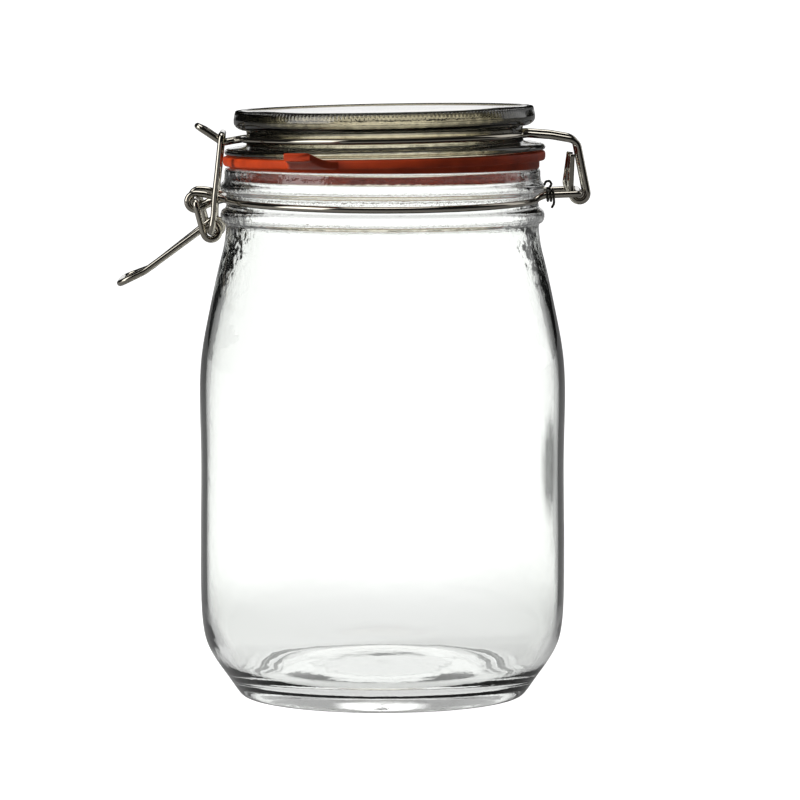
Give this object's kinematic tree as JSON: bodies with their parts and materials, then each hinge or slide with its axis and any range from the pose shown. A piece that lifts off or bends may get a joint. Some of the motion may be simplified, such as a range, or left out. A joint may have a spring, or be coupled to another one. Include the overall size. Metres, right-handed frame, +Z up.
{
  "type": "clip top jar",
  "caption": "Round clear glass storage jar with a hinged glass lid, a rubber seal with a pull tab and a steel wire clip closure, shown empty and shut.",
  "frame": {"origin": "middle of the bounding box in plan, on the surface the jar stands on; the jar's own axis is at X = 8.3 mm, because the lever reaches out further than the hinge", "axes": "+Z up along the jar, +X towards the hinge, -X towards the lever, -Y towards the side with the seal's pull tab"},
  "size_m": [0.1362, 0.1062, 0.1713],
  "materials": {
    "clear_glass": "clear pressed glass, smooth",
    "lid_glass": "clear pressed glass, slightly yellow-green in its thickness",
    "orange_rubber": "smooth moulded rubber, orange-red, low sheen",
    "bright_wire": "bright drawn steel wire, polished"
  },
  "bodies": {
    "jar": {"jar": "clear_glass", "neck_wire": "bright_wire", "tie_wire": "bright_wire"},
    "lid": {"lid": "lid_glass", "seal": "orange_rubber", "lid_wire": "bright_wire"},
    "lever": {"lever": "bright_wire"},
    "link": {"link_near": "bright_wire", "link_far": "bright_wire"}
  },
  "joints": [
    {"name": "lid_hinge", "type": "hinge", "parent": "jar", "child": "lid", "pos_m": [0.0649, 0, 0.1464], "axis": [0, 1, 0], "range_deg": [0, 105]},
    {"name": "lever_pivot", "type": "hinge", "parent": "jar", "child": "lever", "pos_m": [-0.0453, 0, 0.1441], "axis": [0, 1, 0], "range_deg": [0, 120]},
    {"name": "link_pivot", "type": "hinge", "parent": "lever", "child": "link", "pos_m": [-0.0407, 0, 0.1355], "axis": [0, 1, 0], "range_deg": [-117, 0]}
  ],
  "couplings": [
    {"joint": "link_pivot", "follows": "lever_pivot", "ratio": -0.967}
  ]
}
